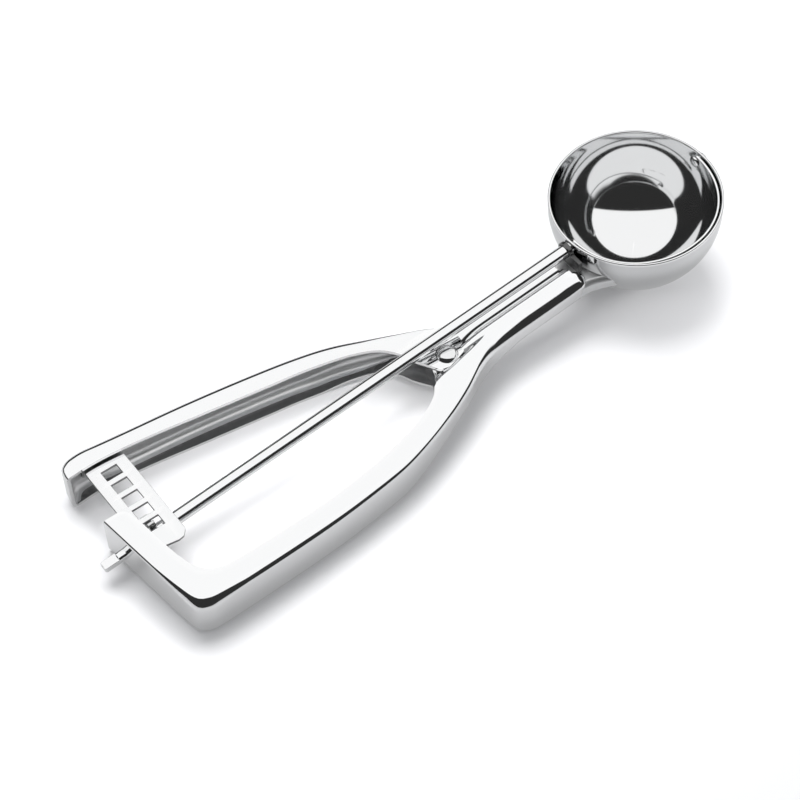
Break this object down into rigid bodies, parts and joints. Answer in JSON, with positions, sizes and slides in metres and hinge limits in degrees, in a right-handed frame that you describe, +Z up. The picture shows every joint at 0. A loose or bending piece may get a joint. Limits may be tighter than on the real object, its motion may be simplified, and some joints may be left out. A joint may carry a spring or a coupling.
{
  "type": "ice cream scoop",
  "caption": "Squeeze-handle ice cream scoop: round bowl with a sweeping scraper, a spindle turned by a rack and pinion, and two channel handles on a sprung pivot.",
  "frame": {"origin": "the point on the table under the spindle's line at the handle end, on the underside of the end wall", "axes": "+X from the handle end to the bowl, +Y towards the lever, +Z up from the table"},
  "size_m": [0.2334, 0.0688, 0.0344],
  "materials": {
    "polished_steel": "mirror-polished stainless steel",
    "rod_steel": "polished stainless rod",
    "bright_plate": "bright stainless sheet, lightly brushed",
    "rivet_steel": "turned stainless steel",
    "pinion_steel": "machined stainless steel",
    "spring_steel": "drawn spring wire"
  },
  "bodies": {
    "frame": {"fixed_handle": "polished_steel", "bowl": "polished_steel", "pivot_rivet": "rivet_steel", "pivot_sleeve": "pinion_steel", "rivet_washer": "rivet_steel", "torsion_spring": "spring_steel"},
    "lever": {"lever_handle": "polished_steel", "rack_plate": "bright_plate", "rack_rivet_front": "rivet_steel", "rack_rivet_rear": "rivet_steel"},
    "spindle": {"spindle_rod": "rod_steel", "pinion": "pinion_steel", "pinion_pin": "pinion_steel", "scraper_blade": "bright_plate", "far_pin": "rivet_steel"}
  },
  "joints": [
    {"name": "lever_pivot", "type": "hinge", "parent": "frame", "child": "lever", "pos_m": [0.1156, -0.004, 0.01], "axis": [0, 0, 1], "range_deg": [0, 8.7], "stiffness_Nm_per_rad": 0.3, "springref_deg": -91.67, "deforming": ["torsion_spring"]},
    {"name": "spindle_spin", "type": "hinge", "parent": "frame", "child": "spindle", "pos_m": [0, 0, 0.0074], "axis": [0.9945, 0, 0.1047], "range_deg": [0, 171]}
  ],
  "couplings": [
    {"joint": "spindle_spin", "follows": "lever_pivot", "ratio": 19.64}
  ]
}
